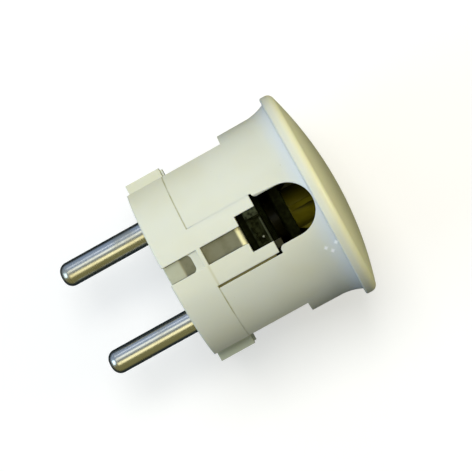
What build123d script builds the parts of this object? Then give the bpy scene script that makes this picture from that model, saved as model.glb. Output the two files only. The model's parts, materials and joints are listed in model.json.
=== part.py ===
"""Earthed angled plug with two round pins and a cord entry in its side, shown without its cord.

The X axis runs along the plug, from the pin tips (minus) to the domed head (plus), and its zero is
the front face that meets the socket. Y runs from pin to pin. Plus Z is the side with the cord entry,
which is also one of the two sides with an earth contact. All sizes are millimetres.
"""
import os
from math import sqrt

from build123d import *

# Pins
pin_pitch = 19.0
pin_diameter = 4.8
pin_length = 19.0
pin_tip_round = 1.8
pin_root_diameter = 5.4
pin_collar_diameter = 7.6
pin_seat_depth = 3.7
pin_head_diameter = 6.2
pin_head_length = 8.3
wire_hole_diameter = 3.0
wire_hole_height = 3.6

# Outer shape of the closed plug
front_radius = 18.6
front_round = 0.4
side_rise = 0.25
flat_depth = 1.8
flat_length = 19.9
shoulder_x = 30.2
flare_run = 4.2
flare_rise = 1.0
rim_step = 1.25
rim_width = 2.2
rim_round = 0.4
dome_edge_round = 1.4
dome_rise = 3.2

# Base
base_thickness = 7.45
rib_height = 1.9
rib_setback = 0.4
guide_width = 5.8
rib_width = 2.3
tongue_width = 11.7
tongue_end_x = 20.1
tongue_depth = 4.4
tongue_gap_tight = 0.02
tongue_gap_open = 0.45
lug_length = 1.4
lug_width = 1.5
spigot_height = 2.5
spigot_wall = 1.2
pillar_half_width = 4.25

# Cover
wall = 2.1
side_wall = 1.8
head_wall = 2.2
cover_fit = 0.2
boss_diameter = 8.0
gusset_thickness = 1.0
gusset_reach = 3.6
gusset_height = 8.0

# Cord entry, an arch in the cover behind the end of the tongue
entry_width = 10.0
entry_shoulder_gap = 0.15
entry_corner = 0.8
entry_step = 0.5
entry_bevel = 0.7

# Earth contact, one bent strip with a leg on either side
strip_width = 3.4
strip_thickness = 0.8
strip_recess = 1.1
strip_bend = 0.7
strip_tip_x = 0.35
strip_tip_run = 3.05
strip_tip_drop = 0.9
bridge_x = 15.5
bridge_width = 8.0
bridge_length = 22.0
slot_clearance = 0.05
groove_end_x = 5.65
groove_corner = 0.9
window_start_x = 7.9
web_recess = 0.4
web_lip = 0.8

# Cord clamp
notch_width = 7.2
saddle_width = 22.0
clamp_depth = 6.7
saddle_plate = 2.7
saddle_jaw_width = 10.4
jaw_x = 20.7
jaw_ridge = 0.5
stem_drop = 0.7
stem_bevel = 0.3
stem_shelf_length = 1.4
stem_shelf_drop = 2.6
latch_width = 1.4
latch_height = 0.5
panel_depth = 0.3
panel_border = 0.35
pip_diameter = 0.5
pip_border = 1.0
bar_x = 23.4
bar_thickness = 1.8
bar_inset = 0.2
clamp_screw_y = 8.0
clamp_screw_drop = 3.9
clamp_screw_diameter = 2.6
clamp_screw_head = 5.0
clamp_screw_head_height = 2.0
clamp_tower_diameter = 5.8

# Pin retainer
retainer_thickness = 2.0
retainer_gap = 0.4
retainer_depth = 8.4
retainer_corner = 4.0
retainer_screw_y = 6.9
retainer_screw_z = -5.9
retainer_screw_diameter = 2.2
retainer_screw_head = 4.2
retainer_screw_head_height = 1.6
retainer_screw_length = 6.0

# Other screws
cover_screw_diameter = 3.4
cover_screw_head = 6.2
cover_screw_head_height = 2.4
cover_screw_recess = 0.8
cover_screw_length = 19.0
insert_diameter = 5.4
insert_length = 7.5
insert_gap = 0.4
terminal_screw_diameter = 2.9
terminal_screw_head = 5.0
terminal_screw_head_height = 1.8
terminal_screw_lift = 0.4
guard_thickness = 0.3
guard_width = 1.6
guard_lip = 1.2
earth_screw_z = -8.6
earth_screw_diameter = 3.0
earth_screw_head = 6.0
earth_screw_head_height = 2.0
earth_screw_length = 7.5
earth_washer_diameter = 7.4
earth_washer_thickness = 0.8

# Fits and small edges
fit = 0.1
hole_fit = 0.05
seat_gap = 0.1
drive_slot_width = 0.8
drive_slot_depth = 0.8
screw_edge = 0.3

# Places that follow from the sizes above
over = 2.0
pin_y = pin_pitch / 2
neck_radius = front_radius + side_rise
rim_radius = neck_radius + flare_rise + rim_step
flat_half_width = front_radius - flat_depth
rim_front_x = shoulder_x + rim_width
apex_x = rim_front_x + dome_rise
dome_radius = (rim_radius**2 + dome_rise**2) / (2 * dome_rise)
cavity_radius = front_radius - wall
cavity_half_width = flat_half_width - side_wall
ceiling_x = apex_x - head_wall
ceiling_edge_x = apex_x - dome_radius + sqrt((dome_radius - head_wall) ** 2 - cavity_radius**2)
rib_half_width = flat_half_width + rib_height
rib_z = (guide_width + rib_width) / 2
tongue_floor_z = front_radius - tongue_depth
strip_outer_z = front_radius - strip_recess
strip_inner_z = strip_outer_z - strip_thickness
strip_middle_z = strip_outer_z - strip_thickness / 2
strip_knee_x = strip_tip_x + strip_tip_run
strip_tip_slope = strip_tip_drop / strip_tip_run
strip_tip_floor_z = strip_middle_z - strip_thickness / 2 * sqrt(1 + strip_tip_slope**2) - slot_clearance
bridge_front_x = bridge_x - strip_thickness / 2
bridge_rear_x = bridge_x + strip_thickness / 2
slot_half_width = strip_width / 2 + slot_clearance
saddle_x = bridge_rear_x + seat_gap
saddle_top_z = tongue_floor_z - seat_gap
saddle_bottom_z = saddle_top_z - clamp_depth
bar_bottom_z = saddle_bottom_z + bar_inset
bar_top_z = saddle_top_z - bar_inset
clamp_screw_z = tongue_floor_z - clamp_screw_drop
retainer_radius = cavity_radius - cover_fit - spigot_wall - retainer_gap
retainer_half_width = cavity_half_width - cover_fit - spigot_wall - retainer_gap
retainer_top_z = clamp_screw_z - clamp_tower_diameter / 2 - retainer_gap
stem_width = notch_width - 2 * fit
stem_top_z = front_radius - stem_drop
bar_rear_x = bar_x + bar_thickness
entry_centre_x = shoulder_x - entry_shoulder_gap - entry_width / 2
boss_front_x = bridge_rear_x + insert_gap
pin_head_end_x = base_thickness + pin_head_length
wire_hole_x = base_thickness + wire_hole_height
guard_x = wire_hole_x + sqrt((wire_hole_diameter / 2) ** 2 - (guard_width / 2) ** 2) - guard_thickness - fit
inner_reach = cavity_radius - 2 * cover_fit
wall_cut_z = cavity_radius - wall
panel_front_x = saddle_x + stem_shelf_length
panel_centre_x = (panel_front_x + stem_bevel + tongue_end_x) / 2
panel_length = tongue_end_x - panel_front_x - stem_bevel

os.makedirs("parts", exist_ok=True)


def keep(piece, name):
    """Label a finished piece and write it to its own file."""
    piece.label = name
    export_step(piece, f"parts/{name}.step")


def make_screw(name, seat, out, head, head_height, shank, length):
    """A slotted pan-head screw whose head sits on the point seat and faces the direction out."""
    under_head = Plane(origin=seat, z_dir=out)
    with BuildPart() as screw:
        with BuildSketch(under_head):
            Circle(head / 2)
        extrude(amount=head_height)
        chamfer(screw.faces().sort_by(Axis(seat, out))[-1].edges(), screw_edge)
        with BuildSketch(under_head):
            Circle(shank / 2)
        extrude(amount=-length)
        chamfer(screw.faces().sort_by(Axis(seat, out))[0].edges(), screw_edge)
        with BuildSketch(under_head.offset(head_height)):
            Rectangle(head + over, drive_slot_width)
        extrude(amount=-drive_slot_depth, mode=Mode.SUBTRACT)
    keep(screw.part, name)


# Outer shape of the whole body, shared by the base and the cover
with BuildPart() as envelope:
    with BuildSketch(Plane.XY) as half_section:
        with BuildLine():
            front = Line((0, 0), (0, front_radius))
            side = Line(front @ 1, (shoulder_x - flare_run, neck_radius))
            flare = TangentArc(side @ 1, (shoulder_x, neck_radius + flare_rise), tangent=side % 1)
            shoulder = Line(flare @ 1, (shoulder_x, rim_radius))
            rim = Line(shoulder @ 1, (rim_front_x, rim_radius))
            TangentArc((apex_x, 0), rim @ 1, tangent=(0, 1))
            Line((apex_x, 0), (0, 0))
        make_face()
        fillet(half_section.vertices().group_by(Axis.Y)[-1].sort_by(Axis.X)[-1], dome_edge_round)
        fillet(half_section.vertices().group_by(Axis.Y)[-1].sort_by(Axis.X)[0], rim_round)
        fillet(half_section.vertices().group_by(Axis.X)[0].sort_by(Axis.Y)[-1], front_round)
    revolve(axis=Axis.X)
    with BuildSketch(Plane.YZ.offset(-over)):
        with Locations((flat_half_width, 0), (-flat_half_width, 0)):
            Rectangle(2 * (rim_radius - flat_half_width), 2 * rim_radius)
        Rectangle(2 * flat_half_width, 2 * rim_radius, mode=Mode.SUBTRACT)
    extrude(amount=flat_length + over, mode=Mode.SUBTRACT)

# Rough block of the base: the disc and its two tongues, before the outer shape trims them
with BuildPart() as base_block:
    with BuildSketch(Plane.YZ.offset(-over)):
        Circle(rim_radius)
    extrude(amount=base_thickness + over)
    with BuildSketch(Plane.YZ.offset(base_thickness - over)):
        Rectangle(tongue_width, 2 * rim_radius)
        Rectangle(tongue_width, 2 * tongue_floor_z, mode=Mode.SUBTRACT)
    extrude(amount=tongue_end_x - base_thickness + over)

# Space in one side of the base for a leg of the earth strip, then its mirror image
with BuildPart() as contact_channel:
    with BuildSketch(Plane.YZ.offset(strip_knee_x)):
        with Locations((0, strip_middle_z)):
            Rectangle(2 * slot_half_width, strip_thickness + 2 * slot_clearance)
    extrude(amount=bridge_rear_x + seat_gap - strip_knee_x)
    # Front groove, open to the front face, with rounded inner corners
    with BuildSketch(Plane.XY.offset(strip_inner_z)) as groove:
        with Locations(((groove_end_x - over) / 2, 0)):
            Rectangle(groove_end_x + over, 2 * slot_half_width)
        fillet(groove.vertices().group_by(Axis.X)[-1], min(groove_corner, 0.9 * slot_half_width))
    extrude(amount=over + strip_thickness + strip_recess)
    # Room under the strip's sloping tip, as a ramp that runs out through the front face
    with BuildSketch(Plane.XZ.offset(-slot_half_width)):
        with BuildLine():
            Polyline(
                (-over, strip_inner_z + fit),
                (strip_knee_x + strip_bend, strip_inner_z + fit),
                (strip_knee_x + strip_bend, strip_inner_z - slot_clearance),
                (strip_knee_x, strip_tip_floor_z),
                (-over, strip_tip_floor_z - strip_tip_slope * (strip_knee_x + over)),
                close=True,
            )
        make_face()
    extrude(amount=2 * slot_half_width)
    # Window that shows the contact, and the slot where the strip turns inwards
    with BuildSketch(Plane.XY.offset(strip_inner_z)):
        with Locations(((window_start_x + bridge_rear_x + seat_gap) / 2, 0)):
            Rectangle(bridge_rear_x + seat_gap - window_start_x, 2 * slot_half_width)
    extrude(amount=over + strip_thickness + strip_recess)
    with BuildSketch(Plane.XY.offset(tongue_floor_z - over)):
        with Locations((bridge_x - strip_bend / 2, 0)):
            Rectangle(strip_thickness + strip_bend + 2 * seat_gap, 2 * slot_half_width)
    extrude(amount=over + tongue_depth - strip_recess)
    # Shallow recess in the web between groove and window
    with BuildSketch(Plane.XY.offset(front_radius - web_recess)):
        with Locations(((groove_end_x + window_start_x - web_lip - over) / 2, 0)):
            Rectangle(window_start_x - web_lip - groove_end_x + over, 2 * slot_half_width)
    extrude(amount=over)
    mirror(about=Plane.XY)

# Base: front disc with guide ribs, forked tongue, spigot, pillar and screw towers
with BuildPart() as base:
    add(envelope.part)
    add(base_block.part, mode=Mode.INTERSECT)
    # Guide ribs either side of the pin line, on the flats
    with BuildSketch(Plane.YZ.offset(rib_setback)):
        with Locations((0, rib_z), (0, -rib_z)):
            Rectangle(2 * rib_half_width, rib_width)
    extrude(amount=base_thickness - rib_setback)
    # Spigot that centres the cover
    with BuildSketch(Plane.YZ.offset(base_thickness)):
        Circle(cavity_radius - cover_fit)
        Rectangle(2 * (cavity_half_width - cover_fit), 2 * cavity_radius, mode=Mode.INTERSECT)
        with BuildSketch(mode=Mode.SUBTRACT):
            Circle(cavity_radius - cover_fit - spigot_wall)
            Rectangle(
                2 * (cavity_half_width - cover_fit - spigot_wall), 2 * cavity_radius, mode=Mode.INTERSECT
            )
    extrude(amount=spigot_height)
    # Pillar under the bridge of the earth strip
    with BuildSketch(Plane.YZ.offset(base_thickness)):
        Circle(pillar_half_width)
        with Locations((0, earth_screw_z)):
            Circle(pillar_half_width)
        with Locations((0, earth_screw_z / 2)):
            Rectangle(2 * pillar_half_width, -earth_screw_z)
    extrude(amount=bridge_front_x - base_thickness)
    # Towers for the cord clamp's screws
    with BuildSketch(Plane.YZ.offset(base_thickness)):
        with Locations((clamp_screw_y, clamp_screw_z), (-clamp_screw_y, clamp_screw_z)):
            Circle(clamp_tower_diameter / 2)
    extrude(amount=saddle_x - base_thickness)
    # Lug on the end of the cord side's fork, which tucks in under the cover's wall
    lug_y = -(notch_width + lug_width) / 2 - fit
    lug_top_z = sqrt(inner_reach**2 - (lug_width / 2 - lug_y) ** 2)
    with BuildSketch(Plane.YZ.offset(tongue_end_x - lug_length)):
        with Locations((lug_y, (tongue_floor_z + lug_top_z) / 2)):
            Rectangle(lug_width, lug_top_z - tongue_floor_z)
    extrude(amount=2 * lug_length)
    # Openings
    add(contact_channel.part, mode=Mode.SUBTRACT)
    with BuildSketch(Plane.XY.offset(tongue_floor_z - over)):
        with Locations(((saddle_x + tongue_end_x + 2 * lug_length) / 2, 0)):
            Rectangle(tongue_end_x + 2 * lug_length - saddle_x, notch_width)
    extrude(amount=tongue_depth + 2 * over, mode=Mode.SUBTRACT)
    with BuildSketch(Plane.YZ.offset(-over)):
        with Locations((pin_y, 0), (-pin_y, 0)):
            Circle(pin_root_diameter / 2 + fit)
        Circle(cover_screw_diameter / 2 + fit)
    extrude(amount=tongue_end_x, mode=Mode.SUBTRACT)
    with BuildSketch(Plane.YZ.offset(pin_seat_depth)):
        with Locations((pin_y, 0), (-pin_y, 0)):
            Circle(pin_collar_diameter / 2 + fit)
    extrude(amount=base_thickness, mode=Mode.SUBTRACT)
    with BuildSketch(Plane.YZ):
        Circle(cover_screw_head / 2 + 2 * fit)
    extrude(amount=cover_screw_recess + cover_screw_head_height, mode=Mode.SUBTRACT)
    with BuildSketch(Plane.YZ.offset(bridge_front_x)):
        with Locations((0, earth_screw_z)):
            Circle(earth_screw_diameter / 2 + hole_fit)
    extrude(amount=-earth_screw_length, mode=Mode.SUBTRACT)
    with BuildSketch(Plane.YZ.offset(base_thickness)):
        with Locations((retainer_screw_y, retainer_screw_z), (-retainer_screw_y, retainer_screw_z)):
            Circle(retainer_screw_diameter / 2 + hole_fit)
    extrude(amount=retainer_thickness - retainer_screw_length, mode=Mode.SUBTRACT)
    with BuildSketch(Plane.YZ.offset(base_thickness + fit)):
        with Locations((clamp_screw_y, clamp_screw_z), (-clamp_screw_y, clamp_screw_z)):
            Circle(clamp_screw_diameter / 2 + hole_fit)
    extrude(amount=saddle_x, mode=Mode.SUBTRACT)
keep(base.part, "base")

# Cover: a cup with a domed head, closed over the base's spigot
with BuildPart() as cover:
    add(envelope.part)
    with BuildSketch(Plane.YZ.offset(-over)):
        Circle(rim_radius + over)
    extrude(amount=base_thickness + over, mode=Mode.SUBTRACT)
    # Cavity: flat-sided behind the flats, round behind the ears, domed under the head
    with BuildSketch(Plane.YZ.offset(base_thickness)):
        Circle(cavity_radius)
        Rectangle(2 * cavity_half_width, 2 * cavity_radius, mode=Mode.INTERSECT)
    extrude(amount=flat_length + side_wall - base_thickness, mode=Mode.SUBTRACT)
    with BuildSketch(Plane.XY):
        with BuildLine():
            cavity_side = Polyline(
                (ceiling_x, 0),
                (flat_length + side_wall, 0),
                (flat_length + side_wall, cavity_radius),
                (ceiling_edge_x, cavity_radius),
            )
            TangentArc((ceiling_x, 0), cavity_side @ 1, tangent=(0, 1))
        make_face()
    revolve(axis=Axis.X, mode=Mode.SUBTRACT)
    # Boss for the cover screw's threaded insert, with four gussets under the head
    with BuildSketch(Plane.YZ.offset(boss_front_x)):
        Circle(boss_diameter / 2)
    extrude(amount=apex_x - head_wall / 2 - boss_front_x)
    with BuildSketch(Plane.XY):
        with BuildLine():
            Polyline(
                (ceiling_x + head_wall / 2, 0),
                (ceiling_x - gusset_height, 0),
                (ceiling_x - gusset_height, boss_diameter / 2),
                (ceiling_edge_x, boss_diameter / 2 + gusset_reach),
                (ceiling_edge_x + head_wall / 2, boss_diameter / 2 + gusset_reach),
                close=True,
            )
        make_face()
    gusset = extrude(amount=gusset_thickness / 2, both=True, mode=Mode.PRIVATE)
    for quarter in range(4):
        add(gusset.rotate(Axis.X, 90 * quarter))
    with BuildSketch(Plane.YZ.offset(boss_front_x)):
        Circle(insert_diameter / 2 + hole_fit)
    extrude(amount=insert_length, mode=Mode.SUBTRACT)
    # Slots that take the base's tongues
    slot_width = tongue_width + tongue_gap_tight + tongue_gap_open
    slot_y = (tongue_gap_tight - tongue_gap_open) / 2
    for end in (1, -1):
        with BuildSketch(Plane.XY.offset(end * wall_cut_z)):
            with Locations(((tongue_end_x + seat_gap + base_thickness - over) / 2, slot_y)):
                Rectangle(tongue_end_x + seat_gap - base_thickness + over, slot_width)
        extrude(amount=end * rim_radius, mode=Mode.SUBTRACT)
    # Cord entry, which opens out to the slot's width at the tongue's end
    with BuildSketch(Plane.XY.offset(wall_cut_z)) as entry:
        with Locations((entry_centre_x, 0)):
            Circle(entry_width / 2)
        with Locations(((entry_centre_x + tongue_end_x) / 2, 0)):
            Rectangle(entry_centre_x - tongue_end_x, entry_width)
        with Locations((tongue_end_x + entry_step / 2, slot_y)):
            Rectangle(entry_step, slot_width)
        inner_corners = entry.vertices().filter_by_position(
            Axis.X, tongue_end_x + entry_step - fit, tongue_end_x + entry_step + fit
        )
        corner_room = tongue_width / 2 + tongue_gap_tight - entry_width / 2
        fillet(inner_corners.group_by(SortBy.DISTANCE)[0], min(entry_corner, 0.95 * corner_room))
    extrude(amount=rim_radius, mode=Mode.SUBTRACT)
    # Bevel on the entry's left edge, which runs out towards the arch
    entry_edge_z = sqrt(neck_radius**2 - (entry_width / 2) ** 2)
    for x, bevel in ((tongue_end_x, entry_bevel), (entry_centre_x, fit)):
        with BuildSketch(Plane.YZ.offset(x)):
            with BuildLine():
                Polyline(
                    (entry_width / 2 - fit, entry_edge_z - bevel - fit),
                    (entry_width / 2 - fit, entry_edge_z + over),
                    (entry_width / 2 + bevel + over, entry_edge_z + over),
                    close=True,
                )
            make_face()
    loft(ruled=True, mode=Mode.SUBTRACT)
keep(cover.part, "cover")

# Pins, each with the leaf that guards its wire and the screw that clamps it
for side_name, y in (("left", pin_y), ("right", -pin_y)):
    with BuildPart() as pin:
        with BuildSketch(Plane((0, y, 0))) as pin_half:
            with BuildLine():
                Polyline(
                    (-pin_length, 0),
                    (-pin_length, pin_diameter / 2),
                    (0, pin_diameter / 2),
                    (0, pin_root_diameter / 2),
                    (pin_seat_depth, pin_root_diameter / 2),
                    (pin_seat_depth, pin_collar_diameter / 2),
                    (base_thickness, pin_collar_diameter / 2),
                    (base_thickness, pin_head_diameter / 2),
                    (pin_head_end_x, pin_head_diameter / 2),
                    (pin_head_end_x, 0),
                    close=True,
                )
            make_face()
            fillet(pin_half.vertices().group_by(Axis.X)[0].sort_by(Axis.Y)[-1], pin_tip_round)
        revolve(axis=Axis((0, y, 0), (1, 0, 0)))
        with BuildSketch(Plane((wire_hole_x, y, 0))):
            Circle(wire_hole_diameter / 2)
        extrude(amount=pin_head_diameter, both=True, mode=Mode.SUBTRACT)
        with BuildSketch(Plane.YZ.offset(wire_hole_x)):
            with Locations((y, 0)):
                Circle(terminal_screw_diameter / 2 + hole_fit)
        extrude(amount=pin_head_length, mode=Mode.SUBTRACT)
    keep(pin.part, f"line_pin_{side_name}")

    with BuildPart() as guard:
        with BuildSketch(Plane((guard_x + guard_thickness / 2, y, 0))):
            Rectangle(guard_thickness, guard_width)
        extrude(amount=pin_head_diameter / 2 + fit, both=True)
        with BuildSketch(Plane((guard_x + guard_lip / 2, y, pin_head_diameter / 2 + fit))):
            Rectangle(guard_lip, guard_width)
        extrude(amount=guard_thickness)
    keep(guard.part, f"wire_guard_{side_name}")

    screw_seat_x = pin_head_end_x + terminal_screw_lift
    make_screw(
        f"terminal_screw_{side_name}",
        (screw_seat_x, y, 0),
        (1, 0, 0),
        terminal_screw_head,
        terminal_screw_head_height,
        terminal_screw_diameter,
        screw_seat_x - guard_x - guard_thickness,
    )

# Insulating plate that holds the pins' collars in the base, open below to pass the pillar
with BuildPart() as retainer:
    with BuildSketch(Plane.YZ.offset(base_thickness)):
        with Locations((0, (retainer_top_z - retainer_depth) / 2)):
            RectangleRounded(2 * retainer_half_width, retainer_top_z + retainer_depth, retainer_corner)
        Circle(retainer_radius, mode=Mode.INTERSECT)
        with Locations((pin_y, 0), (-pin_y, 0)):
            Circle(pin_head_diameter / 2 + fit, mode=Mode.SUBTRACT)
        with Locations((retainer_screw_y, retainer_screw_z), (-retainer_screw_y, retainer_screw_z)):
            Circle(retainer_screw_diameter / 2 + hole_fit, mode=Mode.SUBTRACT)
        Circle(pillar_half_width + cover_fit, mode=Mode.SUBTRACT)
        with Locations((0, -retainer_depth / 2 - over)):
            Rectangle(2 * (pillar_half_width + cover_fit), retainer_depth + 2 * over, mode=Mode.SUBTRACT)
    extrude(amount=retainer_thickness)
keep(retainer.part, "pin_retainer")

for side_name, y in (("left", retainer_screw_y), ("right", -retainer_screw_y)):
    make_screw(
        f"retainer_screw_{side_name}",
        (base_thickness + retainer_thickness, y, retainer_screw_z),
        (1, 0, 0),
        retainer_screw_head,
        retainer_screw_head_height,
        retainer_screw_diameter,
        retainer_screw_length,
    )

# Earth strip: a leg in each channel, joined by a wider bridge on the pillar
with BuildPart() as earth_bracket:
    tip_z = strip_middle_z - strip_tip_drop
    with BuildLine(Plane.XZ) as strip_line:
        FilletPolyline(
            (strip_tip_x, tip_z),
            (strip_knee_x, strip_middle_z),
            (bridge_x, strip_middle_z),
            (bridge_x, -strip_middle_z),
            (strip_knee_x, -strip_middle_z),
            (strip_tip_x, -tip_z),
            radius=strip_bend,
        )
    strip_start = Plane(strip_line.wire() @ 0, x_dir=(0, 1, 0), z_dir=strip_line.wire() % 0)
    with BuildSketch(strip_start):
        Rectangle(bridge_width, strip_thickness)
    sweep(path=strip_line.wire())
    for end in (1, -1):
        with BuildSketch(Plane.XY.offset(end * bridge_length / 2)):
            with Locations((0, bridge_width / 2 + strip_width / 2), (0, -bridge_width / 2 - strip_width / 2)):
                Rectangle(2 * rim_front_x, bridge_width)
        extrude(amount=end * rim_radius, mode=Mode.SUBTRACT)
    with BuildSketch(Plane.YZ):
        Circle(cover_screw_diameter / 2 + fit)
        with Locations((0, earth_screw_z)):
            Circle(earth_screw_diameter / 2 + hole_fit)
    extrude(amount=rim_front_x, mode=Mode.SUBTRACT)
keep(earth_bracket.part, "earth_bracket")

with BuildPart() as earth_washer:
    with BuildSketch(Plane.YZ.offset(bridge_rear_x)):
        with Locations((0, earth_screw_z)):
            Circle(earth_washer_diameter / 2)
            Circle(earth_screw_diameter / 2 + hole_fit, mode=Mode.SUBTRACT)
    extrude(amount=earth_washer_thickness)
keep(earth_washer.part, "earth_clamp_washer")

make_screw(
    "earth_terminal_screw",
    (bridge_rear_x + earth_washer_thickness, 0, earth_screw_z),
    (1, 0, 0),
    earth_screw_head,
    earth_screw_head_height,
    earth_screw_diameter,
    earth_screw_length,
)

# Lower jaw of the cord clamp, with the stem that shows in the notch of the tongue
with BuildPart() as saddle:
    with BuildSketch(Plane.YZ.offset(saddle_x)):
        with Locations((0, (saddle_bottom_z + saddle_top_z) / 2)):
            Rectangle(saddle_width, saddle_top_z - saddle_bottom_z)
        Circle(inner_reach, mode=Mode.INTERSECT)
    extrude(amount=saddle_plate)
    with BuildSketch(Plane.YZ.offset(saddle_x)):
        with Locations((0, (saddle_bottom_z + saddle_top_z) / 2)):
            Rectangle(saddle_jaw_width, saddle_top_z - saddle_bottom_z)
    extrude(amount=jaw_x - saddle_x)
    with BuildSketch(Plane.XZ.offset(-stem_width / 2)):
        with BuildLine():
            Polyline(
                (saddle_x, saddle_top_z - fit),
                (saddle_x, stem_top_z - stem_shelf_drop),
                (panel_front_x, stem_top_z - stem_shelf_drop),
                (panel_front_x, stem_top_z - stem_bevel),
                (panel_front_x + stem_bevel, stem_top_z),
                (tongue_end_x, stem_top_z),
                (tongue_end_x, saddle_top_z - fit),
                close=True,
            )
        make_face()
    extrude(amount=stem_width)
    # Shallow panel with a pip, and raised latch, on the stem's outer face
    panel_width = stem_width - latch_width - 2 * panel_border
    with BuildSketch(Plane.XY.offset(stem_top_z)):
        with Locations((panel_centre_x, -latch_width / 2)):
            Rectangle(panel_length - 2 * panel_border, panel_width)
    extrude(amount=-panel_depth, mode=Mode.SUBTRACT)
    with BuildSketch(Plane.XY.offset(stem_top_z - panel_depth)):
        with Locations((panel_centre_x, pip_border + panel_border - stem_width / 2)):
            Circle(pip_diameter / 2)
    extrude(amount=2 * panel_depth)
    with BuildSketch(Plane.XY.offset(stem_top_z)):
        with Locations((panel_centre_x, (stem_width - latch_width) / 2)):
            Rectangle(panel_length, latch_width)
    extrude(amount=latch_height)
    # Two ridges that grip the cord
    for ridge_z in (saddle_bottom_z + 2 * jaw_ridge, saddle_top_z - 2 * jaw_ridge):
        with BuildSketch(Plane.XZ.offset(-saddle_jaw_width / 2)):
            with Locations((jaw_x, ridge_z)):
                Circle(jaw_ridge)
        extrude(amount=saddle_jaw_width)
    with BuildSketch(Plane.YZ.offset(saddle_x)):
        with Locations((clamp_screw_y, clamp_screw_z), (-clamp_screw_y, clamp_screw_z)):
            Circle(clamp_screw_diameter / 2 + hole_fit)
    extrude(amount=jaw_x, mode=Mode.SUBTRACT)
keep(saddle.part, "cord_clamp_saddle")

# Upper jaw of the cord clamp, a bar under the heads of the two clamp screws
with BuildPart() as clamp_bar:
    with BuildSketch(Plane.YZ.offset(bar_x)):
        with Locations((0, (bar_bottom_z + bar_top_z) / 2)):
            Rectangle(saddle_width, bar_top_z - bar_bottom_z)
        Circle(inner_reach, mode=Mode.INTERSECT)
    extrude(amount=bar_thickness)
    with BuildSketch(Plane.XZ.offset(-saddle_jaw_width / 2)):
        with Locations((bar_x, (bar_bottom_z + bar_top_z) / 2)):
            Circle(jaw_ridge)
    extrude(amount=saddle_jaw_width)
    with BuildSketch(Plane.YZ):
        with Locations((clamp_screw_y, clamp_screw_z), (-clamp_screw_y, clamp_screw_z)):
            Circle(clamp_screw_diameter / 2 + hole_fit)
    extrude(amount=rim_front_x, mode=Mode.SUBTRACT)
keep(clamp_bar.part, "cord_clamp_bar")

for side_name, y in (("left", clamp_screw_y), ("right", -clamp_screw_y)):
    make_screw(
        f"cord_clamp_screw_{side_name}",
        (bar_rear_x, y, clamp_screw_z),
        (1, 0, 0),
        clamp_screw_head,
        clamp_screw_head_height,
        clamp_screw_diameter,
        bar_rear_x - base_thickness - over,
    )

# Cover screw from the front face, and the threaded insert in the cover's boss
make_screw(
    "cover_screw",
    (cover_screw_recess + cover_screw_head_height, 0, 0),
    (-1, 0, 0),
    cover_screw_head,
    cover_screw_head_height,
    cover_screw_diameter,
    cover_screw_length,
)

with BuildPart() as insert:
    with BuildSketch(Plane.YZ.offset(boss_front_x)):
        Circle(insert_diameter / 2)
        Circle(cover_screw_diameter / 2 + hole_fit, mode=Mode.SUBTRACT)
    extrude(amount=insert_length)
keep(insert.part, "cover_thread_insert")
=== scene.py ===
# %% [markdown]
# The object is an angled mains plug: a cream plastic base with two round pins, a cream cover with a
# domed head, a bent metal strip for the earth contact, and a black cord clamp behind an arched
# opening. Its solids come ready made. This lesson gives them finishes, a camera, light and a floor.

# %% Load the plug's solids
import json
import math

import bmesh
import bpy
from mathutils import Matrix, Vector


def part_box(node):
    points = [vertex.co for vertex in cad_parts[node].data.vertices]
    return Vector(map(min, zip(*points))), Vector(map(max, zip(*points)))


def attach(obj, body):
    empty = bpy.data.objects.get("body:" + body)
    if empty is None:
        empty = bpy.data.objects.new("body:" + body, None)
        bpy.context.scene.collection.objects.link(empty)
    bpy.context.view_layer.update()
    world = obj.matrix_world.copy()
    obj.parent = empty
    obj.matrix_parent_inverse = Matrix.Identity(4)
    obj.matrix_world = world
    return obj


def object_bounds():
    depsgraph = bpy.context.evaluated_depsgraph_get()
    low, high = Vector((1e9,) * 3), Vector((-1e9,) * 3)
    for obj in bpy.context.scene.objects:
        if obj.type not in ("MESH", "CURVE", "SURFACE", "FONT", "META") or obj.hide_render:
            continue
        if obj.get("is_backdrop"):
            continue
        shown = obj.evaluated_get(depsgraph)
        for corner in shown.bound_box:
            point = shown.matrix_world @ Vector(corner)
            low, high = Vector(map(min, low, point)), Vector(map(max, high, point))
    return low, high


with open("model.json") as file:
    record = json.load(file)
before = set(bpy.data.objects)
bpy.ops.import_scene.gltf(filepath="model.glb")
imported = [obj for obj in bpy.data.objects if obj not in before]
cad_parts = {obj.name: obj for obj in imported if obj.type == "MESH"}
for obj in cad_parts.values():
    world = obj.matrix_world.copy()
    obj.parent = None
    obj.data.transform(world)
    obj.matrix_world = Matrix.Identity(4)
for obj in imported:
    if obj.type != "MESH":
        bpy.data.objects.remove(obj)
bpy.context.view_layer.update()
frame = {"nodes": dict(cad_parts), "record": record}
plug = frame["nodes"]
print("pieces:", len(plug))

# %% [markdown]
# The photograph looks down on the lying plug from a third of a metre away, with a long lens. The
# camera could be aimed with a constraint, but fixed numbers keep it exactly where the outlines of
# the pins and the head were measured to fit.

# %% Camera above the plug
camera_data = bpy.data.cameras.new("camera")
camera_data.sensor_width = 36.0
camera_data.lens = 132.66
camera = bpy.data.objects.new("camera", camera_data)
camera.location = (0.02847, -0.00109, 0.3303)
camera.rotation_euler = [math.radians(turn) for turn in (-0.981, 2.350, -29.050)]
bpy.context.scene.collection.objects.link(camera)
bpy.context.scene.camera = camera
bpy.context.scene.view_settings.view_transform = "Standard"
print("camera lens in mm:", camera_data.lens)

# %% [markdown]
# A plug with a wide head doesn't lie level: it rests on the edge of its head and on the edge of its
# front face. The floor is a plane with that slope, pushed up until it only just touches the solids.

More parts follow.
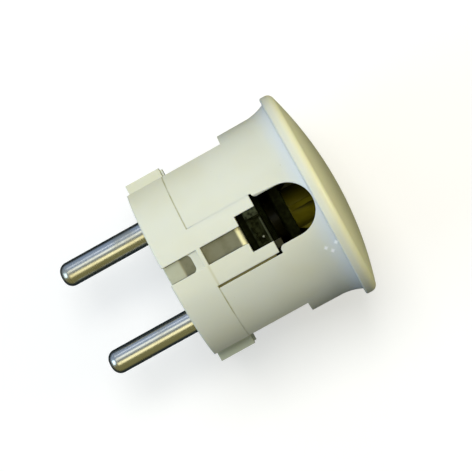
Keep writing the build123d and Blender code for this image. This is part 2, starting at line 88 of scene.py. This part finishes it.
# %% Floor that the plug rests on
front_edge = Vector((0.0004, -0.0186))  # X and Z in metres
head_edge = Vector((0.0306, -0.0211))
floor_half_width = 3.0
floor_slope = (head_edge.y - front_edge.y) / (head_edge.x - front_edge.x)
floor_height = min(
    vertex.co.z - floor_slope * vertex.co.x
    for name in ("base", "cover")
    for vertex in plug[name].data.vertices
)
floor_mesh = bmesh.new()
bmesh.ops.create_grid(floor_mesh, x_segments=2, y_segments=2, size=floor_half_width)
for vertex in floor_mesh.verts:
    vertex.co.z = floor_height + floor_slope * vertex.co.x
floor_data = bpy.data.meshes.new("floor")
floor_mesh.to_mesh(floor_data)
floor_mesh.free()
floor = bpy.data.objects.new("floor", floor_data)
bpy.context.scene.collection.objects.link(floor)
floor.visible_glossy = False
floor.visible_diffuse = False
floor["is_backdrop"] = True
print("floor slope in degrees:", round(math.degrees(math.atan(floor_slope)), 2))

# %% [markdown]
# The light is that of a bright room. One large soft lamp overhead does most of the work, a cool
# window beyond the pins lights the neck, a warm lamp catches the domed head, and two warm strips
# show as long bands on the round pins. The soft lamp is kept out of reflections, so that bare metal
# and black plastic keep their dark tones. The right strip and the sheen show only in reflections.

# %% Lamps
plug_middle = Vector((0.012, 0.0, 0.0))
lamp_distance = 0.6


def add_lamp(name, direction, width, depth, brightness, colour, mirrored=True, lights=True):
    """A rectangular lamp that faces the plug from a direction. Brightness is that of its face."""
    data = bpy.data.lights.new(name, "AREA")
    data.shape = "RECTANGLE"
    data.size = width
    data.size_y = depth
    data.energy = brightness * math.pi * width * depth
    data.color = colour
    lamp = bpy.data.objects.new(name, data)
    towards = Vector(direction).normalized()
    lamp.location = plug_middle + lamp_distance * towards
    lamp.rotation_euler = (-towards).to_track_quat("-Z", "Y").to_euler()
    lamp.visible_glossy = mirrored
    lamp.visible_diffuse = lights
    bpy.context.scene.collection.objects.link(lamp)


# name, direction from the plug, width, depth, brightness, colour
add_lamp("soft_lamp", (0.05, 0.34, 0.94), 0.30, 0.30, 5.5, (1.0, 0.99, 0.95), mirrored=False)
add_lamp("front_window", (-0.86, 0.14, 0.49), 0.34, 0.40, 2.9, (0.60, 0.80, 1.0))
add_lamp("left_strip", (-0.10, 0.42, 0.90), 0.42, 0.18, 1.2, (1.0, 0.98, 0.78))
add_lamp("right_strip", (-0.10, -0.37, 0.93), 0.42, 0.24, 1.5, (1.0, 0.93, 0.58), lights=False)
add_lamp("head_lamp", (0.93, -0.05, 0.36), 0.30, 0.24, 4.5, (1.0, 0.93, 0.60))
add_lamp("sheen", (0.05, 0.84, 0.52), 0.50, 0.10, 1.0, (0.86, 0.91, 1.0), lights=False)

# %% [markdown]
# Real surfaces are never one flat colour. Each finish below is a small calculation on the position
# of the point being shaded, so it needs no picture file. Writing it with plus, minus and times is
# easier to read than dozens of joined nodes, so this little class turns arithmetic into Math nodes.


# %% Arithmetic on shader values
class Field:
    """A value that changes over a surface. Arithmetic on it adds Math nodes."""

    def __init__(self, socket):
        self.socket = socket
        self.tree = socket.id_data

    def node(self, kind, settings=None, inputs=None, output=0):
        """Add any node: its settings first, then the values or links of its sockets."""
        made = self.tree.nodes.new(kind)
        for key, value in (settings or {}).items():
            setattr(made, key, value)
        for key, value in (inputs or {}).items():
            if isinstance(value, Field):
                self.tree.links.new(value.socket, made.inputs[key])
            else:
                made.inputs[key].default_value = value
        return Field(made.outputs[output])

    def maths(self, operation, first, second=0.0):
        return self.node("ShaderNodeMath", {"operation": operation}, {0: first, 1: second})

    def __add__(self, other):
        return self.maths("ADD", self, other)

    def __radd__(self, other):
        return self.maths("ADD", other, self)

    def __sub__(self, other):
        return self.maths("SUBTRACT", self, other)

    def __rsub__(self, other):
        return self.maths("SUBTRACT", other, self)

    def __mul__(self, other):
        return self.maths("MULTIPLY", self, other)

    def __rmul__(self, other):
        return self.maths("MULTIPLY", other, self)

    def __truediv__(self, other):
        return self.maths("DIVIDE", self, other)

    def size(self):
        """The value without its sign."""
        return self.maths("ABSOLUTE", self)

    def ramp(self, low, high):
        """0 where the value is at low, 1 where it is at high, and smooth between."""
        return self.node(
            "ShaderNodeMapRange",
            {"interpolation_type": "SMOOTHSTEP"},
            {"Value": self, "From Min": low, "From Max": high},
        )

    def band(self, low, low_inside, high_inside, high):
        """1 between the two inner values, and 0 below low and above high."""
        return self.ramp(low, low_inside) * (1 - self.ramp(high_inside, high))

    def near(self, centre, inside, outside):
        """1 up to the distance inside from a value, and 0 past the distance outside."""
        return 1 - (self - centre).size().ramp(inside, outside)

    def blend(self, colour_below, colour_above):
        """Mix two colours, the second where the value is 1 or more."""
        share = self.maths("MINIMUM", self, 1.0)
        inputs = {0: share, 6: colour_below, 7: colour_above}
        return self.node("ShaderNodeMix", {"data_type": "RGBA"}, inputs, output=2)

    def noise(self, grains, detail=3.0):
        """Cloudy noise from 0 to 1, with about this many grains to the millimetre on each axis."""
        stretched = self.node(
            "ShaderNodeVectorMath", {"operation": "MULTIPLY"}, {0: self, 1: grains}
        )
        inputs = {"Vector": stretched, "Scale": 1.0, "Detail": detail, "Roughness": 0.5}
        return self.node("ShaderNodeTexNoise", inputs=inputs)

    def worn_edges(self, radius):
        """The direction of the surface, with its edges rounded by a radius in metres."""
        return self.node("ShaderNodeBevel", {"samples": 6}, {"Radius": radius})

    def axis(self, letter):
        """One axis of a position."""
        return self.node("ShaderNodeSeparateXYZ", inputs={0: self}, output="XYZ".index(letter))


print("arithmetic ready")

# %% [markdown]
# A finish is a material with one shader. Three helpers keep the finishes short: one starts a finish
# with its position, one fills the shader's sockets, and one turns a noise into tiny bumps.


# %% Helpers for finishes
def new_finish(name):
    """An empty material, its shader, and the position of the point in millimetres."""
    material = bpy.data.materials.new(name)
    material.use_nodes = True
    nodes = material.node_tree.nodes
    shader = nodes["Principled BSDF"]
    place = Field(nodes.new("ShaderNodeTexCoord").outputs["Object"])
    millimetres = place.node(
        "ShaderNodeVectorMath", {"operation": "SCALE"}, {0: place, "Scale": 1000.0}
    )
    return material, shader, millimetres


def feed(shader, **values):
    """Connect or set the shader's sockets. An underscore in a name stands for a space."""
    for name, value in values.items():
        socket = shader.inputs[name.replace("_", " ")]
        if isinstance(value, Field):
            value.tree.links.new(value.socket, socket)
        else:
            socket.default_value = value


def relief(height, depth, rounding=None):
    """Turn a height from 0 to 1 into tiny bumps that are depth millimetres high."""
    inputs = {"Height": height, "Strength": 1.0, "Distance": depth / 1000}
    if rounding is not None:
        inputs["Normal"] = rounding
    return height.node("ShaderNodeBump", inputs=inputs)


print("helpers ready")

# %% [markdown]
# The rest of the room lights the plug too: cool and bright on the left, dim on the right, warm
# behind the head and dark below. A picture of a room could be wrapped round the scene, but a colour
# that depends on the direction is enough. Reflections get stronger tones of it, which show as bands
# on the pins, and the camera itself sees a plain pale backdrop.

# %% Room light
world = bpy.data.worlds.new("room")
bpy.context.scene.world = world
world.use_nodes = True
room_nodes = world.node_tree.nodes
direction = Field(room_nodes.new("ShaderNodeTexCoord").outputs["Generated"])
mirrored = Field(room_nodes.new("ShaderNodeLightPath").outputs["Is Glossy Ray"])
right_tone = mirrored.blend((0.22, 0.24, 0.25, 1), (0.25, 0.235, 0.10, 1))
left_tone = mirrored.blend((0.62, 0.66, 0.66, 1), (0.34, 0.44, 0.64, 1))
head_tone = (0.26, 0.25, 0.12, 1)
lower_tone = mirrored.blend((0.09, 0.09, 0.08, 1), (0.02, 0.03, 0.035, 1))
backdrop_tone = (0.90, 0.90, 0.89, 1)
left_side = direction.axis("Y").ramp(-0.5, 0.7)
behind_head = direction.axis("X").ramp(0.0, 0.9) * 0.7
below = (1 - direction.axis("Z").ramp(-0.7, 0.0)) * 0.8
below = below + mirrored * direction.axis("Z").ramp(-0.05, -0.45)
room = left_side.blend(right_tone, left_tone)
room = behind_head.blend(room, head_tone)
room = below.blend(room, lower_tone)
seen = Field(room_nodes.new("ShaderNodeLightPath").outputs["Is Camera Ray"])
backdrop = seen.blend(room, backdrop_tone)
world.node_tree.links.new(backdrop.socket, room_nodes["Background"].inputs["Color"])
print("room nodes:", len(room_nodes))

# %% [markdown]
# Dirt sits in the joint between base and cover, and painted shade and light sit beside the tongues
# and on the head. The solids' boxes say where some of these places are, and the sizes that no box
# gives are written down. All of them are in millimetres.

# %% Places on the plug
seam_x = 1000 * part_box("cover")[0].x
head_x = 1000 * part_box("cover")[1].x  # top of the dome
rim_x = head_x - 5.4  # edge where the flare ends and the rim starts
clamp_rear_x = 1000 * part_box("cord_clamp_bar")[1].x
tongue_end_x = 20.1
tongue_side = 5.85  # half the tongue's width
right_gap_side = tongue_side + 0.45  # far edge of the open gap on the right
strip_side = 1.75  # half the width of the strip's window
entry_side = 5.0  # half the cord entry's width
flat_side = 16.8  # how far out the two flats are
front_radius = 18.6
neck_rise = 0.25 / 26.0  # growth of the side's radius for each millimetre of X
hollow_radius = 16.7
dome_span = 142.0  # twice the radius of the ball that the dome is part of
print("joint at X", round(seam_x, 2), "rim at X", round(rim_x, 2))

# %% [markdown]
# The flare before the rim is painted with a cool light, the rim is painted brighter and yellower as
# a warm highlight, and the dome is painted darker towards its top as shade. All three are rings
# round the plug, so colours that are mixed by the place along it are enough.

# %% Painted light and shade on the head
cream = (0.70, 0.70, 0.60, 1)
aged_cream = (0.68, 0.67, 0.54, 1)
# Painted cool light on the flare, a painted warm highlight on the rim, and painted shade on the
# dome.
painted_cool_light = (0.62, 0.66, 0.70, 1)
painted_rim_highlight = (0.84, 0.82, 0.56, 1)
shaded = (0.51, 0.49, 0.31, 1)


def paint_head_light_and_shade(colour, along):
    """Mix the head's painted cool light, warm highlight and shade over a colour."""
    flare = along.band(rim_x - 3.4, rim_x - 0.2, rim_x - 0.1, rim_x + 0.3)
    colour = (flare * 0.7).blend(colour, painted_cool_light)
    colour = along.ramp(rim_x + 0.6, rim_x + 2.4).blend(colour, painted_rim_highlight)
    return (along.ramp(rim_x + 2.6, rim_x + 5.0) * 0.8).blend(colour, shaded)


print("head ages from X", round(rim_x - 3.4, 1), "to X", round(rim_x + 5.0, 1))

# %% [markdown]
# A thin dirty line fills the joint between base and cover, except on the tongues, which reach past
# it. It is patchy, and cleaner low on the right side. The right guide ribs are painted darker, as
# painted shade.

# %% Dirt in the joint and painted shade on the ribs
seam_brown = (0.40, 0.36, 0.10, 1)
# Painted shade for the right guide ribs.
painted_rib_shade = (0.26, 0.29, 0.21, 1)


def dirty_joint(colour, place, along, across):
    """Draw the patchy line in the joint."""
    beside_tongue = across.size().band(tongue_side - 0.1, tongue_side, flat_side - 0.1, flat_side)
    joint = along.near(seam_x, 0.03, 0.20) * beside_tongue
    wiped = 1 - 0.6 * across.ramp(-9.0, -15.0)
    patchy = place.noise((0.4, 0.4, 0.4)).ramp(0.30, 0.60) * 0.45 + 0.25
    return (joint * wiped * patchy).blend(colour, seam_brown)


def shade_right_ribs(colour, along, across):
    """Darken what stands out from the right flat, in front of the joint, as painted shade."""
    past_flat = 1 - across.ramp(-flat_side - 0.5, 0.1 - flat_side)
    rib = past_flat * (1 - along.ramp(seam_x + 0.05, seam_x + 0.35))
    return (rib * 0.75).blend(colour, painted_rib_shade)


print("ribs are grimy up to X", round(seam_x + 0.35, 2))

# %% [markdown]
# Use has left small marks: a faint crease across the tongue and a few specks of dust. Three white
# spots on the flare are painted glints. Each is a mask round its own place, mixed over the colour.

# %% Marks of use and painted glints
# Three painted glints on the flare, white spots in place of reflections.
glint_places = ((27.75, -9.3), (28.6, -10.3), (29.85, -9.2))
painted_glint_white = (0.95, 0.95, 0.95, 1)


def dot(along, across, x, y, inside, outside):
    """1 in a small diamond round a place, and 0 outside it."""
    return 1 - ((along - x).size() + (across - y).size()).ramp(inside, outside)


def crease_and_glints(colour, along, across, up):
    """Draw the crease between the gap and the strip's window, and three painted glints on the flare.
    """
    from_gap = across.ramp(-tongue_side - 0.05, 0.15 - tongue_side)
    to_window = 1 - across.ramp(-strip_side - 0.25, 0.15 - strip_side)
    crease = along.near(seam_x + 0.25, 0.0, 0.40) * from_gap * to_window * up.ramp(17.0, 17.2)
    colour = (crease * 0.30).blend(colour, seam_brown)
    for x, y in glint_places:
        glint = dot(along, across, x, y, 0.10, 0.65) * up.ramp(0.0, 1.0)
        colour = (glint * 0.9).blend(colour, painted_glint_white)
    return colour


def dusty(colour, place):
    """Scatter a few specks."""
    specks = place.noise((1.6, 1.6, 1.6), detail=1.0).ramp(0.78, 0.84)
    return (specks * 0.2).blend(colour, seam_brown)


print("nicks:", len(glint_places))

# %% [markdown]
# Inside, the plastic is painted with shade: dark olive behind the cord clamp, and nearly black in
# front of it, as is the corner of the cord entry beside the tongue's end.

# %% Painted shade in the hollow
# Painted shade inside the plug: dark olive behind the clamp and nearly black in front of it.
painted_olive_shade = (0.34, 0.29, 0.012, 1)
painted_black_shade = (0.03, 0.026, 0.004, 1)


def shade_entry_corner(colour, along, across, up, around):
    """Blacken the cut walls of the entry's corner as painted shade, but not the plug's outer skin.
    """
    start_x = tongue_end_x - 0.15
    lengthwise = along.band(start_x, start_x + 0.10, start_x + 1.25, start_x + 1.45)
    from_gap = across.ramp(-right_gap_side - 0.2, -right_gap_side - 0.1)
    to_entry = 1 - across.ramp(0.1 - entry_side, 0.2 - entry_side)
    cut_wall = (1 - around.ramp(front_radius, front_radius + 0.12)) * up.ramp(14.0, 15.0)
    return (lengthwise * from_gap * to_entry * cut_wall).blend(colour, painted_black_shade)


def shade_the_hollow(colour, along, around):
    """Darken all faces behind the base's disc, inside the cover's wall and inside the dome, as
    painted shade.
    """
    depth_in_head = along + around * around / dome_span
    inside_head = 1 - depth_in_head.ramp(head_x - 1.3, head_x - 1.0)
    inside_wall = 1 - around.ramp(hollow_radius - 0.2, hollow_radius)
    behind_disc = along.ramp(seam_x + 0.4, seam_x + 0.6)
    hollow_shade = along.ramp(clamp_rear_x - 0.8, clamp_rear_x + 0.4).blend(painted_black_shade, painted_olive_shade)
    return (inside_wall * inside_head * behind_disc).blend(colour, hollow_shade)


print("hollow turns olive at X", round(clamp_rear_x, 1))

# %% [markdown]
# The base and the cover are moulded from cream plastic with a soft gloss. Up close, a moulding has
# a faint unevenness from the tool and fine scuffs, and a little light passes through its skin. The
# Bevel node rounds the light on the sharp edges of the solids, as a mould's worn edges do, but not
# where the joint on the tongue's left side is so tight that its edges don't show.


# %% Cream moulded plastic
def moulded_cream(name, plain_tone, cloud_tone):
    """The finish of the base and the cover, and in darker tones as painted shade in the gaps between
    them.
    """
    material, shader, place = new_finish(name)
    along, across, up = (place.axis(letter) for letter in "XYZ")
    around = along.maths("SQRT", across * across + up * up)
    clouds = place.noise((0.08, 0.08, 0.08), detail=2.0)
    colour = clouds.ramp(0.35, 0.70).blend(plain_tone, cloud_tone)
    colour = paint_head_light_and_shade(colour, along)
    colour = dirty_joint(colour, place, along, across)
    colour = shade_right_ribs(colour, along, across)
    colour = crease_and_glints(colour, along, across, up)
    colour = shade_entry_corner(colour, along, across, up, around)
    colour = dusty(colour, place)
    colour = shade_the_hollow(colour, along, around)
    scuffs = place.noise((0.25, 2.2, 2.2), detail=4.0).ramp(0.45, 0.85)
    skin = place.noise((0.9, 0.9, 0.9))
    tight = across.near(tongue_side, 0.3, 0.5) * along.ramp(seam_x + 0.6, seam_x + 1.6)
    feed(
        shader,
        Base_Color=colour,
        Roughness=0.28 + 0.14 * scuffs + 0.06 * clouds,
        Normal=relief(skin, 0.006, place.worn_edges(0.00022 * (1 - tight))),
        IOR=1.5,
        Subsurface_Weight=0.3,
        Subsurface_Scale=0.001,
        Subsurface_Radius=(1.0, 0.85, 0.45),
    )
    return material


cover_finish = moulded_cream("cover_plastic", cream, aged_cream)
base_finish = moulded_cream("base_plastic", cream, aged_cream)
print("nodes in the cover's finish:", len(cover_finish.node_tree.nodes))

# %% [markdown]
# The pins are turned from brass and nickel plated. The turning tool leaves fine rings, and pushing
# the plug into sockets adds scratches along the pin. Both are noise stretched along one axis: rings
# have fine grains along the pin, scratches have fine grains across it.

# %% Nickel plated pins
nickel_bright = (0.60, 0.595, 0.55, 1)
nickel_stained = (0.52, 0.49, 0.39, 1)
nickel, shader, place = new_finish("nickel_plate")
rings = place.noise((7.0, 0.35, 0.35))
scratches = place.noise((0.25, 6.0, 6.0), detail=2.0)
stain = place.noise((0.22, 0.22, 0.22)).ramp(0.40, 0.75)
feed(
    shader,
    Metallic=1.0,
    Base_Color=stain.blend(nickel_bright, nickel_stained),
    Roughness=0.16 + 0.12 * rings + 0.08 * stain,
    Normal=relief(rings * 0.7 + scratches * 0.3, 0.004),
)
print("finish:", nickel.name)

# %% [markdown]
# The earth strip is stamped from sheet metal. It is duller than the pins, with a grain along the
# rolling direction and olive grey tarnish. Its tip and the bend towards the clamp are painted
# bright, as painted highlights.

# %% Stamped contact strip
strip_dull = (0.31, 0.30, 0.215, 1)
strip_tarnished = (0.24, 0.23, 0.155, 1)
# Painted highlights on the tip and on the bend.
painted_tip_highlight = (0.56, 0.50, 0.33, 1)
painted_bend_highlight = (1.0, 0.94, 0.58, 1)
bend_x = 1000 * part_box("earth_bracket")[1].x - 0.55
tip_end_x = 3.7
strip_metal, shader, place = new_finish("strip_metal")
grain = place.noise((0.5, 5.0, 0.5))
tarnish = place.noise((0.35, 0.35, 0.35), detail=4.0).ramp(0.35, 0.70)
# Masks for the painted highlights on the bend and the tip.
bend_highlight = place.axis("X").ramp(bend_x - 0.70, bend_x - 0.15)
tip_highlight = 1 - place.axis("X").ramp(tip_end_x - 0.5, tip_end_x)
metal = tip_highlight.blend(tarnish.blend(strip_dull, strip_tarnished), painted_tip_highlight)
feed(
    shader,
    Metallic=0.9 - 0.75 * bend_highlight,
    Base_Color=bend_highlight.blend(metal, painted_bend_highlight),
    Roughness=0.36 + 0.16 * tarnish,
    Normal=relief(grain, 0.008, place.worn_edges(0.00015)),
)
print("strip bends at X", round(bend_x, 2))

# %% [markdown]
# The cord clamp is moulded in black plastic that reflects very little, so it stays nearly black.
# Only its stem, which shows in the tongue's notch, gets painted light in mottled patches, most on
# the raised latch, a painted highlight along the rear edge and a painted white glint on the small
# pip.
# Masks by place are enough for marks this small.

# %% Black clamp plastic
blacks = ((0.001, 0.0012, 0.0003, 1), (0.007, 0.009, 0.002, 1))
# Painted light on the stem and its latch, a painted highlight on the rear edge, and a painted glint
# on the pip.
painted_panel_light = (0.014, 0.016, 0.006, 1)
painted_latch_light = (0.045, 0.050, 0.027, 1)
painted_edge_highlight = (0.055, 0.060, 0.036, 1)
painted_pip_glint = (0.28, 0.28, 0.22, 1)
stem_top_z = 1000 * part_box("cord_clamp_saddle")[1].z
stem_front_x = 17.2
clamp_black, shader, place = new_finish("clamp_black")
along, across, up = (place.axis(letter) for letter in "XYZ")
mottle = place.noise((1.2, 1.2, 1.2), detail=4.0)
on_stem = up.ramp(stem_top_z - 1.8, stem_top_z - 1.2) * along.ramp(stem_front_x, stem_front_x + 0.4)
on_latch = mottle.ramp(0.30, 0.60) * on_stem * across.ramp(1.9, 2.2)
rear_edge = along.ramp(tongue_end_x - 0.35, tongue_end_x - 0.20) * (1 - across.ramp(1.2, 1.6))
pip = dot(along, across, tongue_end_x - 1.1, -2.0, 0.10, 0.32)
black = mottle.ramp(0.35, 0.75).blend(*blacks)
# Painted light, highlight and glint on the stem's top.
black = (mottle.ramp(0.40, 0.65) * on_stem).blend(black, painted_panel_light)
black = on_latch.blend(black, painted_latch_light)
black = (on_stem * rear_edge * 0.8).blend(black, painted_edge_highlight)
black = (on_stem * pip).blend(black, painted_pip_glint)
feed(
    shader,
    Base_Color=black,
    Roughness=0.34 + 0.20 * mottle,
    Normal=relief(mottle, 0.02, place.worn_edges(0.00018)),
    IOR=1.5,
    Specular_IOR_Level=0.06,
    Specular_Tint=(1.0, 1.0, 0.4, 1),
)
print("stem starts at X", stem_front_x)

# %% [markdown]
# Inside the plug, an insulating plate holds the pins by their collars. It is pressed from brown
# fibres, so it is rough and flecked along its length. Noise stretched on one axis gives the flecks.

# %% Insulating plate
board_light = (0.40, 0.36, 0.25, 1)
board_dark = (0.26, 0.22, 0.14, 1)
plate_board, shader, place = new_finish("plate_board")
fibres = place.noise((3.0, 0.8, 3.0), detail=5.0)
feed(
    shader,
    Base_Color=fibres.ramp(0.30, 0.75).blend(board_light, board_dark),
    Roughness=0.62 + 0.2 * fibres,
    Normal=relief(fibres, 0.03),
)
print("finish:", plate_board.name)

# %% [markdown]
# The screws are zinc plated, but the earth screw and the cover's threaded insert are brass. All are
# turned and carry a dull film in patches, so one function makes both finishes from two colours each.


# %% Screws and brass pieces
def turned_metal(name, bright, dull, roughness):
    material, shader, place = new_finish(name)
    marks = place.noise((4.0, 1.2, 1.2), detail=4.0)
    film = place.noise((0.5, 0.5, 0.5)).ramp(0.35, 0.70)
    feed(
        shader,
        Metallic=1.0,
        Base_Color=film.blend(bright, dull),
        Roughness=roughness + 0.16 * film,
        Normal=relief(marks, 0.008, place.worn_edges(0.00012)),
    )
    return material


zinc = turned_metal("zinc_plate", (0.62, 0.63, 0.63, 1), (0.44, 0.45, 0.43, 1), 0.26)
brass = turned_metal("turned_brass", (0.76, 0.60, 0.30, 1), (0.55, 0.42, 0.18, 1), 0.24)
print("finishes:", zinc.name, brass.name)

# %% [markdown]
# The gaps beside the tongue aren't see-through on the real plug, because a thin lip closes them
# from below. It could be part of the solids, but it is thinner than anything that is worth a solid,
# so it is made here: on the right a lip half a millimetre down, coloured dark as painted shade in
# the gap, on the left one that lies flush. The side away from the cord entry has the same two gaps.

# %% Lips in the gaps beside the tongue
lip_thickness = 0.5
# Dark tones of the right lips: painted shade in the gap.
gap_shade_light = (0.20, 0.17, 0.055, 1)
gap_shade_dark = (0.16, 0.135, 0.035, 1)
gap_shade_finish = moulded_cream("gap_shaded_plastic", gap_shade_light, gap_shade_dark)


def add_lip(name, end, sides, depth, start_x, end_x, finish):
    """A strip between two values of Y, its top so deep below the plug's slightly conical side.

    The end is 1 for the side with the cord entry and -1 for the other.
    """
    lip_mesh = bmesh.new()
    for vertex in bmesh.ops.create_cube(lip_mesh, size=1.0)["verts"]:
        at_x = start_x if vertex.co.x < 0 else end_x
        at_y = sides[0] if vertex.co.y < 0 else sides[1]
        side_radius = front_radius + neck_rise * at_x
        top_z = math.sqrt(side_radius**2 - at_y**2) - depth
        at_z = end * (top_z if vertex.co.z > 0 else top_z - lip_thickness)
        vertex.co = 0.001 * Vector((at_x, at_y, at_z))
    bmesh.ops.recalc_face_normals(lip_mesh, faces=lip_mesh.faces)
    lip_data = bpy.data.meshes.new(name)
    lip_mesh.to_mesh(lip_data)
    lip_mesh.free()
    lip = bpy.data.objects.new(name, lip_data)
    bpy.context.scene.collection.objects.link(lip)
    lip_data.materials.append(finish)
    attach(lip, "root")
    print(name, "has", len(lip_data.polygons), "faces")


right_gap = (-right_gap_side, -tongue_side)
left_gap = (tongue_side, tongue_side + 0.02)  # the left gap is very tight
right_depth = 0.5
right_start_x = 7.5
left_start_x = 8.6
left_end_x = 20.05
# name, end, sides, depth, start_x, end_x, finish
add_lip("right_gap_lip", 1, right_gap, right_depth, right_start_x, 19.4, gap_shade_finish)
add_lip("left_gap_lip", 1, left_gap, 0.0, left_start_x, left_end_x, cover_finish)
add_lip("right_gap_lip_below", -1, right_gap, right_depth, right_start_x, 20.15, gap_shade_finish)
add_lip("left_gap_lip_below", -1, left_gap, 0.0, left_start_x, left_end_x, cover_finish)

# %% [markdown]
# Each solid already carries the material slot that the record names, so putting a finish in that
# slot dresses it without touching its mesh.

# %% Dress the solids
finish_of_slot = {
    "cover": cover_finish,
    "base": base_finish,
    "pin": nickel,
    "contact_strip": strip_metal,
    "clamp_plastic": clamp_black,
    "insulator": plate_board,
    "screw": zinc,
    "brass": brass,
}
for row in frame["record"]["subparts"]:
    solid = plug[row["node"]]
    for slot in solid.material_slots:
        slot.material = finish_of_slot[row["material_slot"]]
    print(row["node"], "has the finish", solid.material_slots[0].material.name)

# %% [markdown]
# The floor is plain matt paper, nearly white, with a trace of mottle so that it isn't a flat
# colour. It glows a little, because a white floor lit by this room alone would look grey.

# %% Floor finish
paper_light = (0.66, 0.65, 0.66, 1)
paper_dark = (0.64, 0.63, 0.64, 1)
paper, shader, place = new_finish("floor_paper")
mottle = place.noise((0.02, 0.02, 0.02), detail=2.0)
feed(
    shader,
    Base_Color=mottle.ramp(0.3, 0.7).blend(paper_light, paper_dark),
    Roughness=0.9,
    Emission_Color=(1.0, 0.99, 0.98, 1),
    Emission_Strength=0.42,
)
floor_data.materials.append(paper)
print("finish:", paper.name)

# %% [markdown]
# Dressing the plug must not change its size. The box round the dressed plug is measured and its
# size printed.

# %% Size of the dressed plug
visual_box = [list(corner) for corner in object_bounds()]
lengths = [round(1000 * (high - low), 2) for low, high in zip(*visual_box)]
print("size of the dressed plug in mm:", lengths)
